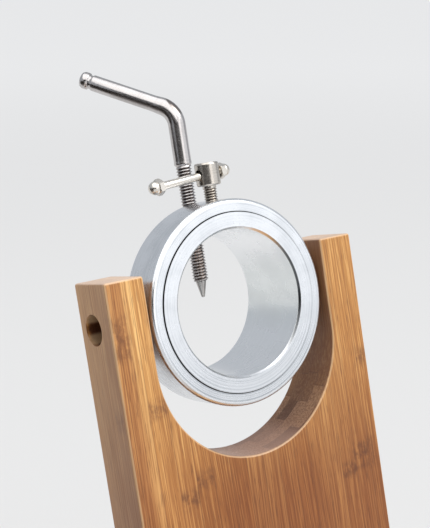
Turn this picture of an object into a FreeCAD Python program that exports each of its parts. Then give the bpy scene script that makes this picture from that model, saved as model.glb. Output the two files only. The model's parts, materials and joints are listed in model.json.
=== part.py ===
import FreeCAD, Part
import math
import os
import Sketcher
import PartDesign
from FreeCAD import Placement, Rotation, Vector

# Ham holder stand: a bamboo board carries a fork-shaped post, and the fork carries a
# tilting steel head. Millimetres, +Z up, the front of the stand towards -Y.
#
# Two frames are used. The world frame has its origin under the middle of the stand, on
# the counter. The head frame has its origin on the tilt axis, X along that axis, Y along
# the hock bore towards the rear and Z up along the post; it leans back by lean_angle.

DIMENSIONS = {
    # board on the counter
    "foot_height": 8,
    "foot_radius": 12,
    "board_width": 200,
    "board_length": 440,
    "board_height": 30,
    "board_corner": 18,
    "board_round": 3,
    "board_rear": 7.5,
    "foot_inset": 28,
    # fork post
    "pivot_y": 174.62,
    "pivot_z": 290,
    "lean_angle": 15,
    "post_half_width": 72.3,
    "post_front": -16.6,
    "post_rear": 12.8,
    "post_top": 22.25,
    "post_foot_z": 26,
    "post_round": 1.2,
    "gap_half_width": 52.2,
    "gap_centre_z": -21.8,
    "housing_clearance": 0.15,
    "post_screw_y": -66.5,
    "post_screw_spacing": 45,
    "post_screw_radius": 2.5,
    "post_screw_top": 72,
    "dowel_spacing": 25,
    "dowel_radius": 5,
    "dowel_bottom": 12,
    "dowel_top": 56,
    # tilt pivots
    "pivot_rise": 0.8,
    "pivot_radius": 4,
    "bush_outer_radius": 5.5,
    "bush_seat": 58.3,
    "bush_flange": 59.3,
    "counterbore_radius": 7.4,
    "washer_seat": 49.2,
    # outer ring
    "ring_radius": 50,
    "ring_front": -14.6,
    "ring_rear": 9.4,
    "ring_bore": 40.6,
    "ring_recess": 43.8,
    "ring_recess_floor": -8.0,
    # turning sleeve
    "sleeve_front": -15.2,
    "sleeve_flange": 43.5,
    "sleeve_flange_rear": -9.2,
    "sleeve_radius": 38.92,
    "sleeve_bore": 35.5,
    "sleeve_rear": 28.8,
    "collar_front": 10.5,
    "collar_rear": 24.6,
    "collar_radius": 41.2,
    "spike_y": 17.6,
    # spike screw
    "spike_radius": 4,
    "spike_point_z": 2,
    "spike_thread_start": 10.5,
    "spike_thread_end": 69.6,
    "spike_stem_radius": 4.4,
    "spike_corner_z": 96.6,
    "spike_bend_radius": 11.5,
    "handle_azimuth": 131.4,
    "handle_rise": 27,
    "handle_length": 51.8,
    "handle_radius": 4.05,
    "button_radius": 4.3,
    # lock screw
    "lock_y": -2.7,
    "lock_radius": 3.35,
    "lock_bottom": 41.6,
    "lock_shoulder": 57.3,
    "lock_top": 68.5,
    "lock_head_radius": 5.9,
    "bar_height": 62.9,
    "bar_radius": 1.95,
    "bar_azimuth": 6,
    "bar_droop": 5,
    "bar_hole_radius": 2.55,
    "bar_left": -33.4,
    "bar_right": 10.8,
    "cap_nut_flats": 3.5,
    "cap_nut_hex": 3.0,
    "cap_nut_length": 6.8,
    "cap_nut_bore": 4.2,
    # ham rest on the board
    "rest_centre_y": -172.9,
    "rest_width": 100,
    "rest_depth": 80,
    "rest_thickness": 3,
    "rest_spike_radius": 4,
    "rest_spike_top": 88,
}

CLEARANCE = 0.05

doc = FreeCAD.newDocument("ham_stand")
sheet = doc.addObject("Spreadsheet::Sheet", "dims")
for row, (alias, number) in enumerate(DIMENSIONS.items(), start=1):
    sheet.set("A%d" % row, alias)
    sheet.set("B%d" % row, str(number))
    sheet.setAlias("B%d" % row, alias)
doc.recompute()

parts = []


def value(expression):
    """The number an expression over the dimension sheet gives."""
    return float(sheet.evalExpression(str(expression)))


def dim(alias):
    return value("dims." + alias)


HEAD = Placement(
    Vector(0, dim("pivot_y"), dim("pivot_z")),
    Rotation(Vector(1, 0, 0), -dim("lean_angle")),
)


def in_head(x=0, y=0, z=0, axis=(0, 0, 1), angle=0):
    """A placement stated in the head frame, returned in the world frame."""
    return HEAD.multiply(Placement(Vector(x, y, z), Rotation(Vector(*axis), angle)))


def head_point(y, z):
    """Where a world point lies in the head frame, as (y, z)."""
    point = HEAD.inverse().multVec(Vector(0, y, z))
    return point.y, point.z


# ---- sketch and feature helpers -------------------------------------------------------


def new_body(name):
    body = doc.addObject("PartDesign::Body", name)
    body.Label = name
    return body


def new_sketch(body, plane, offset=None):
    """A sketch on one of the body's own origin planes: "XY", "XZ" or "YZ"."""
    sketch = body.newObject("Sketcher::SketchObject", "sketch")
    role = plane + "_Plane"
    support = [o for o in body.Origin.OriginFeatures if o.Role == role][0]
    sketch.AttachmentSupport = [(support, "")]
    sketch.MapMode = "FlatFace"
    if offset is not None:
        sketch.AttachmentOffset = offset
    return sketch


def bind(sketch, kind, element, point, expression):
    """Drive one coordinate of a sketch point by an expression."""
    expression = str(expression)
    number = value(expression)
    key = Sketcher.Constraint(kind, -1, 1, element, point, number)
    index = sketch.addConstraint(key)
    sketch.setExpression("Constraints[%d]" % index, expression)


def add_outline(sketch, points):
    """A closed outline of straight lines; each point is a pair of expressions."""
    first = sketch.GeometryCount
    count = len(points)
    for number, (x, y) in enumerate(points):
        next_x, next_y = points[(number + 1) % count]
        start = Vector(value(x), value(y), 0)
        end = Vector(value(next_x), value(next_y), 0)
        sketch.addGeometry(Part.LineSegment(start, end), False)
    for number in range(count):
        here = first + number
        after = first + (number + 1) % count
        sketch.addConstraint(Sketcher.Constraint("Coincident", here, 2, after, 1))
    for number, (x, y) in enumerate(points):
        bind(sketch, "DistanceX", first + number, 1, x)
        bind(sketch, "DistanceY", first + number, 1, y)


def add_circle(sketch, x, y, radius):
    """A circle whose centre and radius follow expressions."""
    centre = Vector(value(x), value(y), 0)
    number = sketch.addGeometry(Part.Circle(centre, Vector(0, 0, 1), value(radius)), False)
    bind(sketch, "DistanceX", number, 3, x)
    bind(sketch, "DistanceY", number, 3, y)
    index = sketch.addConstraint(Sketcher.Constraint("Radius", number, value(radius)))
    sketch.setExpression("Constraints[%d]" % index, str(radius))


def add_rectangle(sketch, low_x, low_y, high_x, high_y):
    corners = [(low_x, low_y), (high_x, low_y), (high_x, high_y), (low_x, high_y)]
    add_outline(sketch, corners)


def add_hexagon(sketch, half_flats):
    """A hexagon round the sketch origin, given half its width across flats."""
    corner = 1 / math.cos(math.radians(30))
    points = []
    for step in range(6):
        turn = math.radians(60 * step)
        across = "(%s) * %.6f" % (half_flats, corner * math.cos(turn))
        along = "(%s) * %.6f" % (half_flats, corner * math.sin(turn))
        points.append((across, along))
    add_outline(sketch, points)


def revolve(body, profile, axis, offset=None, plane="YZ", angle=360, reverse=False):
    """Turn an outline round the sketch's "H_Axis" or "V_Axis"."""
    sketch = new_sketch(body, plane, offset)
    add_outline(sketch, profile)
    feature = body.newObject("PartDesign::Revolution", "revolution")
    feature.Profile = sketch
    feature.ReferenceAxis = (sketch, [axis])
    feature.Angle = angle
    feature.Reversed = reverse
    doc.recompute()
    return feature


def pad(body, sketch, length, symmetric=False, reverse=False):
    feature = body.newObject("PartDesign::Pad", "pad")
    feature.Profile = sketch
    feature.setExpression("Length", str(length))
    feature.Midplane = symmetric
    feature.Reversed = reverse
    doc.recompute()
    return feature


def pocket(body, sketch, length=None, symmetric=False, reverse=False):
    """Cut a sketch into the body; without a length it cuts right through both ways."""
    before = body.Shape.Volume
    feature = body.newObject("PartDesign::Pocket", "pocket")
    feature.Profile = sketch
    if length is None:
        feature.Type = "ThroughAll"
        feature.Midplane = True
    else:
        feature.setExpression("Length", str(length))
        feature.Midplane = symmetric
        feature.Reversed = reverse
    doc.recompute()
    if body.Shape.Volume > before - 0.5:
        raise ValueError("a cut in %s removes nothing" % body.Label)
    return feature


def picked_edges(base, chosen):
    """Names of the edges of a feature that the test picks."""
    numbered = enumerate(base.Shape.Edges, start=1)
    return ["Edge%d" % number for number, edge in numbered if chosen(edge)]


def fillet(body, base, chosen, radius):
    """Round the edges of the last feature that the test picks."""
    feature = body.newObject("PartDesign::Fillet", "fillet")
    feature.Base = (base, picked_edges(base, chosen))
    feature.setExpression("Radius", str(radius))
    doc.recompute()
    return feature


def chamfer(body, base, chosen, size):
    """Bevel the edges of the last feature that the test picks."""
    feature = body.newObject("PartDesign::Chamfer", "chamfer")
    feature.Base = (base, picked_edges(base, chosen))
    feature.Size = size
    doc.recompute()
    return feature


def hex_socket(body, half_flats, top, depth):
    """A hexagonal socket sunk into a head whose top is at the given height."""
    offset = Placement(Vector(0, 0, value(top)), Rotation())
    sketch = new_sketch(body, "XY", offset)
    add_hexagon(sketch, half_flats)
    return pocket(body, sketch, depth)


def finish(body, placement=None):
    """Place a sub-part and list it for writing."""
    if placement is not None:
        body.Placement = placement
    parts.append(body)
    return body


def finish_set(name, template, placements):
    """One sub-part made of several equal solids."""
    feature = doc.addObject("Part::Feature", name)
    feature.Label = name
    feature.Shape = Part.makeCompound([template.Shape.transformed(p.toMatrix()) for p in placements])
    parts.append(feature)
    return feature


def at(x, y, z=0):
    return Placement(Vector(x, y, z), Rotation())


# ---- board, feet and ham rest ---------------------------------------------------------


def board_ends():
    """The board's front and rear edges along Y."""
    rear = "(dims.pivot_y + dims.board_rear)"
    return "(%s - dims.board_length)" % rear, rear


def foot_places():
    front, rear = (value(end) for end in board_ends())
    side = dim("board_width") / 2 - dim("foot_inset")
    inset = dim("foot_inset")
    return [at(x, y) for x in (-side, side) for y in (front + inset, rear - inset)]


def housing_outline():
    """The slanted housing for the post's foot, as seen along X in the world frame."""
    lean = "dims.lean_angle"
    front = "(dims.post_front - dims.housing_clearance)"
    rear = "(dims.post_rear + dims.housing_clearance)"
    floor = "dims.post_foot_z"
    top = "(dims.foot_height + dims.board_height + 5)"
    points = []
    for face, level in ((front, floor), (rear, floor), (rear, top), (front, top)):
        back = "(%s - dims.pivot_z) * tan(%s)" % (level, lean)
        points.append(("dims.pivot_y + %s + %s / cos(%s)" % (back, face, lean), level))
    return points


def cut_round_holes(body, centres, radius, level, depth, reverse=False):
    """Blind round holes from a level plane, downwards unless reversed."""
    offset = Placement(Vector(0, 0, value(level)), Rotation())
    sketch = new_sketch(body, "XY", offset)
    for x, y in centres:
        add_circle(sketch, x, y, radius)
    return pocket(body, sketch, depth, reverse=reverse)


def post_screw_centres():
    y = "dims.pivot_y + dims.post_screw_y"
    return [(s + "dims.post_screw_spacing", y) for s in ("-", "0 * ", "")]


def dowel_centres():
    y = "dims.pivot_y + dims.post_screw_y"
    return [(s + "dims.dowel_spacing", y) for s in ("-", "")]


def rest_screw_centres():
    return [(x, "dims.rest_centre_y %s 30" % s) for x in ("-40", "40") for s in "-+"]


REST_SPIKES = (("-28", "- 18"), ("28", "- 18"), ("0", "+ 22"))


def rest_spike_centres():
    return [(x, "dims.rest_centre_y " + y) for x, y in REST_SPIKES]


def places_of(centres):
    return [at(value(x), value(y)) for x, y in centres]


def make_base_board():
    body = new_body("base_board")
    front, rear = board_ends()
    sketch = new_sketch(body, "XY", at(0, 0, dim("foot_height")))
    half = "dims.board_width / 2"
    add_rectangle(sketch, "-" + half, front, half, rear)
    blank = pad(body, sketch, "dims.board_height")
    upright = fillet(body, blank, lambda e: e.BoundBox.ZLength > 10, "dims.board_corner")
    top = dim("foot_height") + dim("board_height")
    rounded = fillet(body, upright, lambda e: e.BoundBox.ZMin > top - 0.01, "dims.board_round")
    bottom = dim("foot_height")
    chamfer(body, rounded, lambda e: e.BoundBox.ZMax < bottom + 0.01, 1.2)
    housing = new_sketch(body, "YZ")
    add_outline(housing, housing_outline())
    pocket(body, housing, "2 * (dims.post_half_width + dims.housing_clearance)", symmetric=True)
    screws = post_screw_centres()
    cut_round_holes(body, screws, 6.5, "dims.foot_height", 6, reverse=True)
    cut_round_holes(body, screws, 2.75, "dims.post_foot_z + 1", 15)
    cut_round_holes(body, dowel_centres(), "dims.dowel_radius + %g" % CLEARANCE,
                    "dims.post_foot_z + 1", "dims.post_foot_z + 1 - dims.dowel_bottom")
    feet = [(str(p.Base.x), str(p.Base.y)) for p in foot_places()]
    cut_round_holes(body, feet, 2 + CLEARANCE, "dims.foot_height", 17, reverse=True)
    board_top = "dims.foot_height + dims.board_height"
    cut_round_holes(body, rest_screw_centres(), 2 + CLEARANCE, board_top, 15)
    cut_round_holes(body, rest_spike_centres(), "dims.rest_spike_radius + %g" % CLEARANCE,
                    board_top, 11)
    finish(body)


def make_feet():
    foot = new_body("foot_template")
    profile = [
        ("2.1", "4"), ("4.5", "4"), ("4.5", "0"), ("dims.foot_radius - 1.2", "0"),
        ("dims.foot_radius - 0.6", "0.6"), ("dims.foot_radius", "dims.foot_height"),
        ("2.1", "dims.foot_height"),
    ]
    revolve(foot, profile, "V_Axis")
    finish_set("rubber_feet", foot, foot_places())
    screw = new_body("foot_screw_template")
    profile = [
        ("0", "1.6"), ("3.0", "1.6"), ("3.8", "2.6"), ("3.8", "4"), ("2", "4"),
        ("2", "22"), ("0.4", "24"), ("0", "24"),
    ]
    revolve(screw, profile, "V_Axis")
    sketch = new_sketch(screw, "XY", at(0, 0, 1.6))
    add_rectangle(sketch, "-2.6", "-0.45", "2.6", "0.45")
    pocket(screw, sketch, 1.1, reverse=True)
    finish_set("foot_screws", screw, foot_places())


def make_post_fasteners():
    screw = new_body("post_screw_template")
    profile = [
        ("0", "10"), ("5.4", "10"), ("6", "10.6"), ("6", "14"), ("dims.post_screw_radius", "14"),
        ("dims.post_screw_radius", "dims.post_screw_top - 3"), ("0.5", "dims.post_screw_top"),
        ("0", "dims.post_screw_top"),
    ]
    revolve(screw, profile, "V_Axis")
    sketch = new_sketch(screw, "XY", at(0, 0, 10))
    add_hexagon(sketch, "2.5")
    pocket(screw, sketch, 2.4, reverse=True)
    finish_set("post_screws", screw, places_of(post_screw_centres()))
    dowel = new_body("dowel_template")
    profile = [
        ("0", "dims.dowel_bottom"), ("dims.dowel_radius - 1", "dims.dowel_bottom"),
        ("dims.dowel_radius", "dims.dowel_bottom + 1"), ("dims.dowel_radius", "dims.dowel_top - 1"),
        ("dims.dowel_radius - 1", "dims.dowel_top"), ("0", "dims.dowel_top"),
    ]
    revolve(dowel, profile, "V_Axis")
    finish_set("post_dowels", dowel, places_of(dowel_centres()))


def make_ham_rest():
    plate = new_body("rest_plate")
    top = "(dims.foot_height + dims.board_height + dims.rest_thickness)"
    sketch = new_sketch(plate, "XY", at(0, 0, dim("foot_height") + dim("board_height")))
    add_rectangle(sketch, "-dims.rest_width / 2", "dims.rest_centre_y - dims.rest_depth / 2",
                  "dims.rest_width / 2", "dims.rest_centre_y + dims.rest_depth / 2")
    blank = pad(plate, sketch, "dims.rest_thickness")
    fillet(plate, blank, lambda e: e.BoundBox.ZLength > 2, 8)
    cut_round_holes(plate, rest_screw_centres(), 2.2, top, 4)
    cut_round_holes(plate, rest_spike_centres(), "dims.rest_spike_radius + %g" % CLEARANCE, top, 4)
    level = value(top)
    chamfer(plate, plate.Tip, lambda e: is_circle(e, 2.2) and e.BoundBox.ZMin > level - 0.01, 1.9)
    finish(plate)
    screw = new_body("rest_screw_template")
    profile = [
        ("0", top), ("3.9", top), ("3.9", top + " - 0.15"), ("2", top + " - 2.05"), ("2", top + " - 15"),
        ("0.4", top + " - 17"), ("0", top + " - 17"),
    ]
    revolve(screw, profile, "V_Axis")
    hex_socket(screw, "1.25", top, 1.3)
    finish_set("rest_plate_screws", screw, places_of(rest_screw_centres()))
    spike = new_body("rest_spike_template")
    profile = [
        ("0", "27"), ("dims.rest_spike_radius - 0.8", "27"), ("dims.rest_spike_radius", "27.8"),
        ("dims.rest_spike_radius", "52"), ("0.8", "dims.rest_spike_top - 0.6"),
        ("0.4", "dims.rest_spike_top"), ("0", "dims.rest_spike_top"),
    ]
    revolve(spike, profile, "V_Axis")
    finish_set("rest_spikes", spike, places_of(rest_spike_centres()))
    nut = new_body("spike_nut_template")
    sketch = new_sketch(nut, "XY", at(0, 0, value(top)))
    add_hexagon(sketch, "6.5")
    add_circle(sketch, "0", "0", "dims.rest_spike_radius + %g" % CLEARANCE)
    pad(nut, sketch, 6.5)
    finish_set("spike_nuts", nut, places_of(rest_spike_centres()))


def is_circle(edge, radius):
    """Whether an edge is a full circle of the given radius."""
    curve = edge.Curve
    return isinstance(curve, Part.Circle) and abs(curve.Radius - radius) < 1e-4


# ---- fork post and its pivot bushes ---------------------------------------------------


def on_post_face(edge):
    """Whether an edge lies in the post's front or rear face, or crosses an arm's top."""
    box = edge.BoundBox
    faces = (dim("post_front"), dim("post_rear"))
    flat = box.YLength < 0.01 and min(abs(box.YMin - y) for y in faces) < 0.01
    low = box.ZMax < -200
    across = box.ZMin > dim("post_top") - 0.01
    return (flat and not low) or across


def make_fork_post():
    body = new_body("fork_post")
    middle = (dim("post_front") + dim("post_rear")) / 2
    sketch = new_sketch(body, "XZ", at(0, 0, -middle))
    low = "-300"
    add_rectangle(sketch, "-dims.post_half_width", low, "dims.post_half_width", "dims.post_top")
    pad(body, sketch, "dims.post_rear - dims.post_front", symmetric=True)
    slot = new_sketch(body, "XZ")
    add_rectangle(slot, "-dims.gap_half_width", "dims.gap_centre_z",
                  "dims.gap_half_width", "dims.post_top + 5")
    pocket(body, slot)
    bowl = new_sketch(body, "XZ")
    add_circle(bowl, "0", "dims.gap_centre_z", "dims.gap_half_width")
    forked = pocket(body, bowl)
    fillet(body, forked, on_post_face, "dims.post_round")
    trim_foot(body)
    cut_pivot_holes(body)
    cut_foot_holes(body)
    finish(body, HEAD)


def trim_foot(body):
    """Cut the foot level with the floor of the housing."""
    depth = dim("post_rear") - dim("post_front")
    lean = math.radians(dim("lean_angle"))
    drop = dim("post_foot_z") - dim("pivot_z")
    heights = [(drop + y * math.sin(lean)) / math.cos(lean) for y in (-depth, depth)]
    sketch = new_sketch(body, "YZ")
    add_outline(sketch, [(-depth, -320), (depth, -320), (depth, heights[1]), (-depth, heights[0])])
    pocket(body, sketch)


def cut_pivot_holes(body):
    through = new_sketch(body, "YZ")
    add_circle(through, "0", "dims.pivot_rise", "dims.bush_outer_radius + %g" % CLEARANCE)
    pocket(body, through)
    depth = dim("post_half_width") - dim("bush_seat")
    for side in (-1, 1):
        offset = at(0, 0, side * dim("post_half_width"))
        sketch = new_sketch(body, "YZ", offset)
        add_circle(sketch, "0", "dims.pivot_rise", "dims.counterbore_radius")
        pocket(body, sketch, depth, reverse=side < 0)


def cut_foot_holes(body):
    """Upright blind holes in the foot for the screws and the dowels."""
    level = dim("post_foot_z") - 1
    y, z = head_point(dim("pivot_y") + dim("post_screw_y"), level)
    upright = Rotation(Vector(1, 0, 0), dim("lean_angle"))
    offset = Placement(Vector(0, y, z), upright)
    screws = new_sketch(body, "XY", offset)
    for x in ("-dims.post_screw_spacing", "0", "dims.post_screw_spacing"):
        add_circle(screws, x, "0", "dims.post_screw_radius + %g" % CLEARANCE)
    pocket(body, screws, "dims.post_screw_top + 1 - %g" % level, reverse=True)
    dowels = new_sketch(body, "XY", offset)
    for x in ("-dims.dowel_spacing", "dims.dowel_spacing"):
        add_circle(dowels, x, "0", "dims.dowel_radius + %g" % CLEARANCE)
    pocket(body, dowels, "dims.dowel_top + 1 - %g" % level, reverse=True)


# The pivot hardware is turned about its own Z, which is then laid along the tilt axis.
SIDES = {"left": -90, "right": 90}


def make_pivots():
    bore = "dims.pivot_radius + 0.08"
    for side, turn in SIDES.items():
        place = in_head(z=dim("pivot_rise"), axis=(0, 1, 0), angle=turn)
        bush = new_body("pivot_bush_" + side)
        profile = [
            (bore, "dims.gap_half_width + 0.1"), ("dims.bush_outer_radius", "dims.gap_half_width + 0.1"),
            ("dims.bush_outer_radius", "dims.bush_seat"), ("7.1", "dims.bush_seat"),
            ("7.1", "dims.bush_flange"), (bore, "dims.bush_flange"),
        ]
        revolve(bush, profile, "V_Axis")
        finish(bush, place)
        bolt = new_body("pivot_bolt_" + side)
        profile = [
            ("0", "42"), ("3.2", "42"), ("dims.pivot_radius", "42.8"),
            ("dims.pivot_radius", "dims.bush_flange + 0.1"), ("6.6", "dims.bush_flange + 0.1"),
            ("6.6", "dims.bush_flange + 2"), ("6.0", "dims.bush_flange + 3.4"),
            ("4.6", "dims.bush_flange + 4.4"), ("0", "dims.bush_flange + 4.4"),
        ]
        revolve(bolt, profile, "V_Axis")
        hex_socket(bolt, "2.5", "dims.bush_flange + 4.4", 2.6)
        finish(bolt, place)
        washer = new_body("pivot_washer_" + side)
        profile = [
            ("dims.pivot_radius + 0.15", "dims.washer_seat"), ("6.6", "dims.washer_seat"),
            ("6.6", "dims.gap_half_width - 0.5"), ("6.3", "dims.gap_half_width - 0.2"),
            ("dims.pivot_radius + 0.15", "dims.gap_half_width - 0.2"),
        ]
        revolve(washer, profile, "V_Axis")
        finish(washer, place)


# ---- steel head: ring, bush, sleeve and collar ----------------------------------------


def cut_top_hole(body, radius, y, depth="60"):
    """A round hole from the top of a turned part down to its bore."""
    sketch = new_sketch(body, "XY")
    add_circle(sketch, "0", y, radius)
    return pocket(body, sketch, depth, reverse=True)


def make_outer_ring():
    body = new_body("outer_ring")
    profile = [
        ("dims.ring_front", "dims.ring_recess + 0.1"), ("dims.ring_front + 0.1", "dims.ring_recess"),
        ("dims.ring_recess_floor", "dims.ring_recess"), ("dims.ring_recess_floor", "dims.ring_bore"),
        ("dims.ring_rear", "dims.ring_bore"), ("dims.ring_rear", "dims.ring_radius"),
        ("dims.ring_front", "dims.ring_radius"),
    ]
    turned = revolve(body, profile, "H_Axis")
    fillet(body, turned, lambda e: is_circle(e, dim("ring_radius")), 2.1)
    for side in (-1, 1):
        spot = new_sketch(body, "YZ", at(0, 0, side * dim("washer_seat")))
        add_circle(spot, "0", "dims.pivot_rise", "6.9")
        pocket(body, spot, "5", reverse=side > 0)
    thread = new_sketch(body, "YZ")
    add_circle(thread, "0", "dims.pivot_rise", "dims.pivot_radius + %g" % CLEARANCE)
    pocket(body, thread)
    cut_top_hole(body, "dims.lock_radius + %g" % CLEARANCE, "dims.lock_y")
    finish(body, HEAD)


def make_sleeve():
    body = new_body("inner_sleeve")
    profile = [
        ("dims.sleeve_front", "dims.sleeve_bore + 1"), ("dims.sleeve_front", "dims.sleeve_flange - 0.1"),
        ("dims.sleeve_front + 0.1", "dims.sleeve_flange"),
        ("dims.sleeve_flange_rear - 0.3", "dims.sleeve_flange"),
        ("dims.sleeve_flange_rear", "dims.sleeve_flange - 0.3"),
        ("dims.sleeve_flange_rear", "dims.sleeve_radius"),
        ("dims.sleeve_rear - 0.4", "dims.sleeve_radius"), ("dims.sleeve_rear", "dims.sleeve_radius - 0.4"),
        ("dims.sleeve_rear", "dims.sleeve_bore + 0.4"), ("dims.sleeve_rear - 0.4", "dims.sleeve_bore"),
        ("dims.sleeve_front + 1", "dims.sleeve_bore"),
    ]
    revolve(body, profile, "H_Axis")
    cut_top_hole(body, "dims.spike_radius + %g" % CLEARANCE, "dims.spike_y")
    cut_collar_screw_holes(body)
    finish(body, HEAD)


def cut_collar_screw_holes(body):
    """Three radial holes that stop short of the bore; the spike takes the fourth place, on top."""
    radius = 2 + CLEARANCE
    bottom = 36.9
    below = new_sketch(body, "XY", at(0, 0, -bottom))
    add_circle(below, "0", "dims.spike_y", radius)
    pocket(body, below, "20")
    for side in (-1, 1):
        beside = new_sketch(body, "YZ", at(0, 0, side * bottom))
        add_circle(beside, "dims.spike_y", "0", radius)
        pocket(body, beside, "20", reverse=side > 0)


def make_bush():
    body = new_body("sleeve_bush")
    inner = "dims.sleeve_radius + 0.08"
    profile = [
        ("dims.sleeve_flange_rear + 0.1", inner), ("dims.sleeve_flange_rear + 0.1", "43.3"),
        ("dims.ring_recess_floor", "43.3"), ("dims.ring_recess_floor", "dims.ring_bore - 0.1"),
        ("dims.ring_rear", "dims.ring_bore - 0.1"), ("dims.ring_rear", inner),
    ]
    revolve(body, profile, "H_Axis")
    cut_top_hole(body, 2.6, "dims.lock_y")
    finish(body, HEAD)


def make_thrust_washer():
    body = new_body("rear_thrust_washer")
    profile = [
        ("dims.ring_rear", "39.3"), ("dims.ring_rear", "dims.collar_radius"),
        ("dims.collar_front - 0.1", "dims.collar_radius"), ("dims.collar_front - 0.1", "39.3"),
    ]
    revolve(body, profile, "H_Axis")
    finish(body, HEAD)


def make_collar():
    body = new_body("rear_collar")
    inner = "dims.sleeve_radius + 0.03"
    profile = [
        ("dims.collar_front", inner), ("dims.collar_front", "dims.collar_radius - 0.4"),
        ("dims.collar_front + 0.4", "dims.collar_radius"), ("dims.collar_rear - 0.8", "dims.collar_radius"),
        ("dims.collar_rear", "dims.collar_radius - 0.8"), ("dims.collar_rear", inner),
    ]
    revolve(body, profile, "H_Axis")
    cut_top_hole(body, "dims.spike_radius + %g" % CLEARANCE, "dims.spike_y")
    cut_collar_screw_holes(body)
    for turn in (90, 180, 270):
        countersink(body, turn)
    finish(body, HEAD)


def countersink(body, turn):
    """Sink one radial hole, whose axis is the V axis of a sketch turned about the bore."""
    offset = Placement(Vector(0, 0, -dim("spike_y")), Rotation(Vector(0, 0, 1), turn))
    sketch = new_sketch(body, "XZ", offset)
    profile = [("0", "38"), ("2.05", "39.05"), ("4.05", "41.05"), ("4.05", "44"), ("0", "44")]
    add_outline(sketch, profile)
    sink = body.newObject("PartDesign::Groove", "countersink")
    sink.Profile = sketch
    sink.ReferenceAxis = (sketch, ["V_Axis"])
    sink.Angle = 360
    doc.recompute()


def make_collar_screws():
    template = new_body("collar_screw_template")
    profile = [
        ("0", "37"), ("1.6", "37"), ("2", "37.4"), ("2", "39.05"), ("3.95", "41"), ("0", "41"),
    ]
    revolve(template, profile, "V_Axis")
    hex_socket(template, "1.25", "41", 1.6)
    places = [in_head(y=dim("spike_y"), axis=(0, 1, 0), angle=turn) for turn in (90, 180, 270)]
    finish_set("collar_screws", template, places)


# ---- spike screw with its cranked handle ----------------------------------------------


def make_spike():
    place = in_head(y=dim("spike_y"), angle=dim("handle_azimuth"))
    tip = new_body("spike_tip")
    profile = [
        ("0", "dims.spike_point_z"), ("0.5", "dims.spike_point_z"), ("0.9", "dims.spike_point_z + 0.4"),
        ("2.7", "dims.spike_thread_start - 0.1"), ("1.6", "dims.spike_thread_start - 0.1"),
        ("1.6", "14"), ("0", "14"),
    ]
    revolve(tip, profile, "V_Axis")
    finish(tip, place)
    body = new_body("spike_screw")
    bend = 90 - dim("handle_rise")
    tangent = dim("spike_bend_radius") * math.tan(math.radians(bend / 2))
    bend_start = dim("spike_corner_z") - tangent
    profile = [
        ("1.68", "dims.spike_thread_start"), ("3.3", "dims.spike_thread_start"),
        ("dims.spike_radius", "dims.spike_thread_start + 0.8"),
        ("dims.spike_radius", "dims.spike_thread_end - 0.4"), ("4.45", "dims.spike_thread_end"),
        ("4.45", "dims.spike_thread_end + 0.9"), ("dims.spike_stem_radius", "dims.spike_thread_end + 1.3"),
        ("dims.spike_stem_radius", bend_start), ("0", bend_start), ("0", "14.1"), ("1.68", "14.1"),
    ]
    revolve(body, profile, "V_Axis")
    add_bend(body, bend_start, bend)
    add_handle(body, bend, tangent)
    finish(body, place)


def add_bend(body, start, angle):
    """The bend that leads from the stem to the handle."""
    radius = dim("spike_bend_radius")
    sketch = new_sketch(body, "XY", at(radius, 0, start))
    add_circle(sketch, "-dims.spike_bend_radius", "0", "dims.spike_stem_radius")
    feature = body.newObject("PartDesign::Revolution", "bend")
    feature.Profile = sketch
    feature.ReferenceAxis = (sketch, ["V_Axis"])
    feature.Angle = angle
    doc.recompute()
    return feature


def add_handle(body, bend, tangent):
    """The straight handle with a neck and a rounded button at its end."""
    corner = Vector(0, dim("spike_corner_z"), 0)
    offset = Placement(corner, Rotation(Vector(0, 0, 1), -bend))
    end = dim("handle_length")
    thin = "dims.handle_radius"
    profile = [
        ("0", tangent), ("dims.spike_stem_radius", tangent), (thin, tangent + 4), (thin, end - 6.6),
        ("3.5", end - 5.9), ("3.5", end - 4.7), ("dims.button_radius", end - 4.1),
        ("dims.button_radius", end - 1.6), ("3.7", end - 0.5), ("2.6", end), ("0", end),
    ]
    revolve(body, profile, "V_Axis", offset, plane="XZ")


# ---- lock screw with its tommy bar ----------------------------------------------------


def make_lock():
    place = in_head(y=dim("lock_y"), angle=dim("bar_azimuth"))
    pad_piece = new_body("lock_pad")
    profile = [
        ("0", "dims.sleeve_radius + 0.03"), ("2.1", "dims.sleeve_radius + 0.03"), ("2.4", "39.25"),
        ("2.4", "dims.lock_bottom - 0.1"), ("1.2", "dims.lock_bottom - 0.1"), ("1.2", "45"), ("0", "45"),
    ]
    revolve(pad_piece, profile, "V_Axis")
    finish(pad_piece, place)
    body = new_body("lock_screw")
    head = "dims.lock_head_radius"
    profile = [
        ("1.27", "dims.lock_bottom"), ("2.8", "dims.lock_bottom"),
        ("dims.lock_radius", "dims.lock_bottom + 0.6"),
        ("dims.lock_radius", "dims.lock_shoulder"), (head + " - 0.6", "dims.lock_shoulder"),
        (head, "dims.lock_shoulder + 0.6"), (head, "dims.lock_top - 0.9"),
        (head + " - 0.9", "dims.lock_top"),
        ("0", "dims.lock_top"), ("0", "45.1"), ("1.27", "45.1"),
    ]
    revolve(body, profile, "V_Axis")
    hole = new_sketch(body, "YZ")
    add_circle(hole, "0", "dims.bar_height", "dims.bar_hole_radius")
    pocket(body, hole)
    finish(body, place)
    droop = Rotation(Vector(0, 1, 0), -dim("bar_droop"))
    make_tommy_bar(place.multiply(Placement(Vector(0, 0, dim("bar_height")), droop)))


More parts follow.
